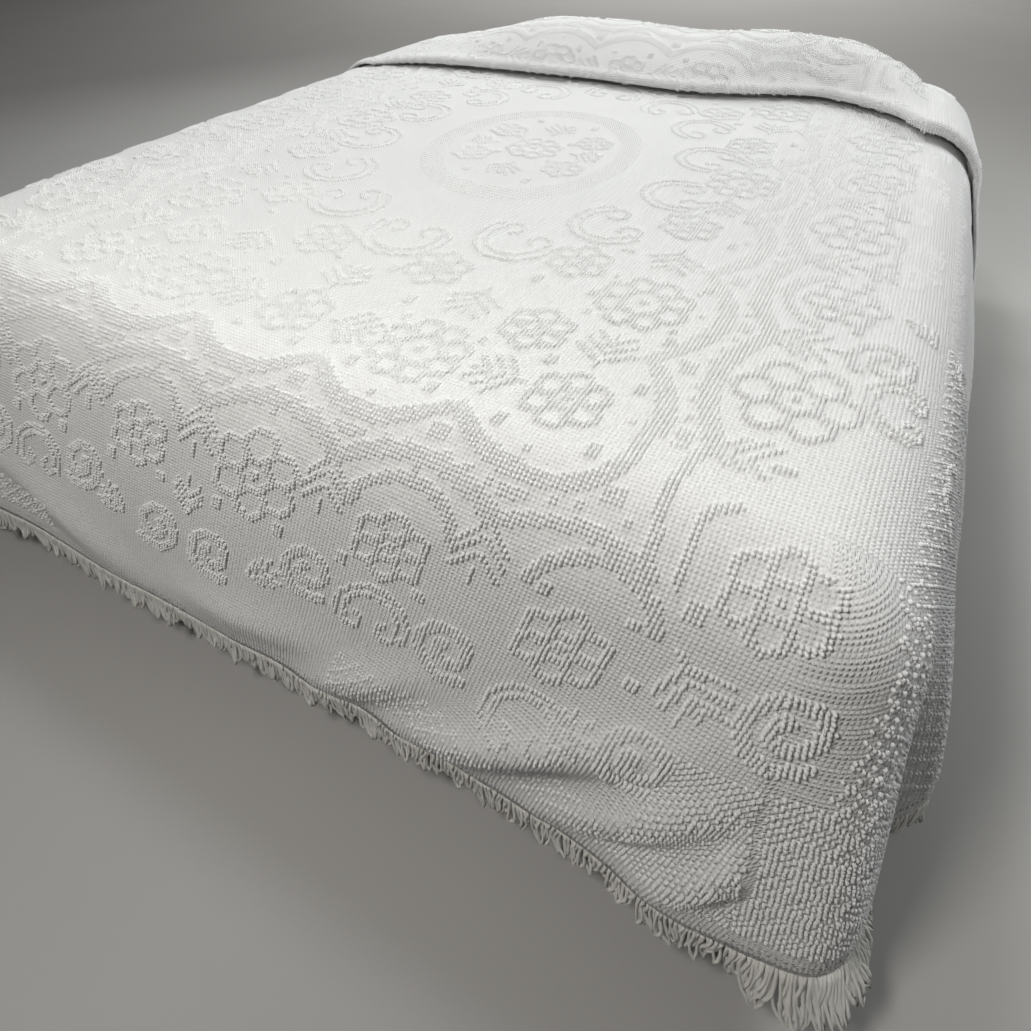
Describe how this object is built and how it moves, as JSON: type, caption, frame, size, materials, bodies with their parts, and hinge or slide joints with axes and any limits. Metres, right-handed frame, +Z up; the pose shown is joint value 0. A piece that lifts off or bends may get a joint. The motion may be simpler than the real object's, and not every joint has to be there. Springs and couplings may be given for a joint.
{
  "type": "candlewick bedspread on a bed",
  "caption": "Fringed candlewick bedspread draped over a made-up bed, with a tucked fold in front of the pillows and hanging sides with a yarn fringe.",
  "frame": {"origin": "on the floor under the middle of the bed base", "axes": "+Z up, +Y towards the head of the bed, +X to the right as seen from the foot"},
  "size_m": [2.1617, 2.1133, 0.8155],
  "materials": {
    "candlewick": "tufted white cotton, matt",
    "fringe_yarn": "soft looped cotton yarn",
    "ticking": "woven mattress ticking",
    "base_cloth": "plain upholstery weave",
    "pillow_cotton": "plain cotton"
  },
  "bodies": {
    "root": {"bedspread": "candlewick", "fringe_left_head": "fringe_yarn", "fringe_left": "fringe_yarn", "fringe_left_corner": "fringe_yarn", "fringe_foot": "fringe_yarn", "fringe_right_corner": "fringe_yarn", "fringe_right": "fringe_yarn", "fringe_right_head": "fringe_yarn", "mattress": "ticking", "bed_base": "base_cloth", "pillow_left": "pillow_cotton", "pillow_right": "pillow_cotton"}
  },
  "joints": []
}
